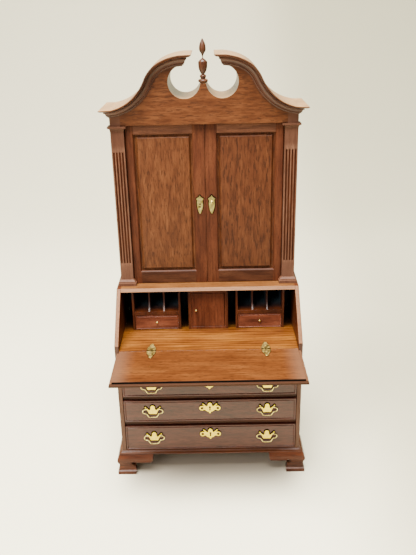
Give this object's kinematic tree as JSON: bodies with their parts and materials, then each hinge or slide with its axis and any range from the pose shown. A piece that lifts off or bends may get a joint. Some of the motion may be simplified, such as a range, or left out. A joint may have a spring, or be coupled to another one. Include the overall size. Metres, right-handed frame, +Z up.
{
  "type": "miniature secretary desk with bookcase",
  "caption": "One-inch-scale slant-front secretary desk with drawers, pigeonholes, panelled bookcase doors and a swan-neck pediment.",
  "frame": {"origin": "middle of the footprint, with the fall board open, on the surface it stands on", "axes": "+X to the viewer's right, -Y to the front, +Z up"},
  "size_m": [0.0946, 0.079, 0.207],
  "materials": {
    "carcase_wood": "satin lacquered",
    "frame_wood": "satin lacquered",
    "panel_wood": "satin lacquered",
    "drawer_wood": "satin lacquered",
    "writing_wood": "satin lacquered",
    "inner_wood": "satin",
    "brass": "polished"
  },
  "bodies": {
    "case": {"base_board": "carcase_wood", "desk_side_left": "carcase_wood", "desk_side_right": "carcase_wood", "desk_back": "carcase_wood", "desk_top": "carcase_wood", "writing_board": "writing_wood", "divider_above_lower": "carcase_wood", "divider_above_middle": "carcase_wood", "divider_above_upper": "carcase_wood", "foot_front_left": "carcase_wood", "foot_rear_left": "carcase_wood", "foot_front_right": "carcase_wood", "foot_rear_right": "carcase_wood", "hinge_leaf_fixed_left": "brass", "hinge_leaf_fixed_right": "brass", "gallery_left": "inner_wood", "gallery_right": "inner_wood", "prospect_frame": "frame_wood", "bookcase_side_left": "carcase_wood", "bookcase_side_right": "carcase_wood", "bookcase_back": "carcase_wood", "bookcase_ceiling": "carcase_wood", "bookcase_shelf": "inner_wood", "pilaster_left": "frame_wood", "pilaster_right": "frame_wood", "bonnet": "panel_wood", "crown_left": "frame_wood", "crown_right": "frame_wood", "finial": "frame_wood"},
    "drawer_lower": {"drawer_lower": "drawer_wood", "pull_lower_left": "brass", "pull_lower_right": "brass", "escutcheon_lower": "brass"},
    "drawer_middle": {"drawer_middle": "drawer_wood", "pull_middle_left": "brass", "pull_middle_right": "brass", "escutcheon_middle": "brass"},
    "drawer_upper": {"drawer_upper": "drawer_wood", "pull_upper_left": "brass", "pull_upper_right": "brass", "escutcheon_upper": "brass"},
    "drawer_top": {"drawer_top": "drawer_wood", "pull_top_left": "brass", "pull_top_right": "brass"},
    "loper_left": {"loper_left": "carcase_wood"},
    "loper_right": {"loper_right": "carcase_wood"},
    "fall": {"fall_board": "writing_wood", "hinge_leaf_moving_left": "brass", "hinge_leaf_moving_right": "brass"},
    "small_drawer_left": {"gallery_drawer_left": "frame_wood"},
    "small_drawer_right": {"gallery_drawer_right": "frame_wood"},
    "prospect": {"prospect_door": "frame_wood", "prospect_knob": "brass"},
    "door_left": {"door_frame_left": "frame_wood", "door_panel_left": "panel_wood", "door_plate_left": "brass"},
    "door_right": {"door_frame_right": "frame_wood", "door_panel_right": "panel_wood", "door_plate_right": "brass", "door_knob": "brass"}
  },
  "joints": [
    {"name": "drawer_lower_slide", "type": "slide", "parent": "case", "child": "drawer_lower", "axis": [0, -1, 0], "range_m": [0, 0.035]},
    {"name": "drawer_middle_slide", "type": "slide", "parent": "case", "child": "drawer_middle", "axis": [0, -1, 0], "range_m": [0, 0.035]},
    {"name": "drawer_upper_slide", "type": "slide", "parent": "case", "child": "drawer_upper", "axis": [0, -1, 0], "range_m": [0, 0.035]},
    {"name": "drawer_top_slide", "type": "slide", "parent": "case", "child": "drawer_top", "axis": [0, -1, 0], "range_m": [0, 0.035]},
    {"name": "loper_left_slide", "type": "slide", "parent": "case", "child": "loper_left", "axis": [0, -1, 0], "range_m": [-0.01, 0.015]},
    {"name": "loper_right_slide", "type": "slide", "parent": "case", "child": "loper_right", "axis": [0, -1, 0], "range_m": [-0.01, 0.015]},
    {"name": "fall_hinge", "type": "hinge", "parent": "case", "child": "fall", "pos_m": [0, -0.01052, 0.0699], "axis": [1, 0, 0], "range_deg": [-135, 0]},
    {"name": "small_drawer_left_slide", "type": "slide", "parent": "case", "child": "small_drawer_left", "axis": [0, -1, 0], "range_m": [0, 0.014]},
    {"name": "small_drawer_right_slide", "type": "slide", "parent": "case", "child": "small_drawer_right", "axis": [0, -1, 0], "range_m": [0, 0.014]},
    {"name": "prospect_hinge", "type": "hinge", "parent": "case", "child": "prospect", "pos_m": [0.00745, 0.01263, 0.0797], "axis": [0, 0, 1], "range_deg": [0, 90]},
    {"name": "door_left_hinge", "type": "hinge", "parent": "case", "child": "door_left", "pos_m": [-0.0337, 0.01767, 0.1317], "axis": [0, 0, -1], "range_deg": [0, 90]},
    {"name": "door_right_hinge", "type": "hinge", "parent": "case", "child": "door_right", "pos_m": [0.0337, 0.01767, 0.1317], "axis": [0, 0, 1], "range_deg": [0, 90]}
  ]
}
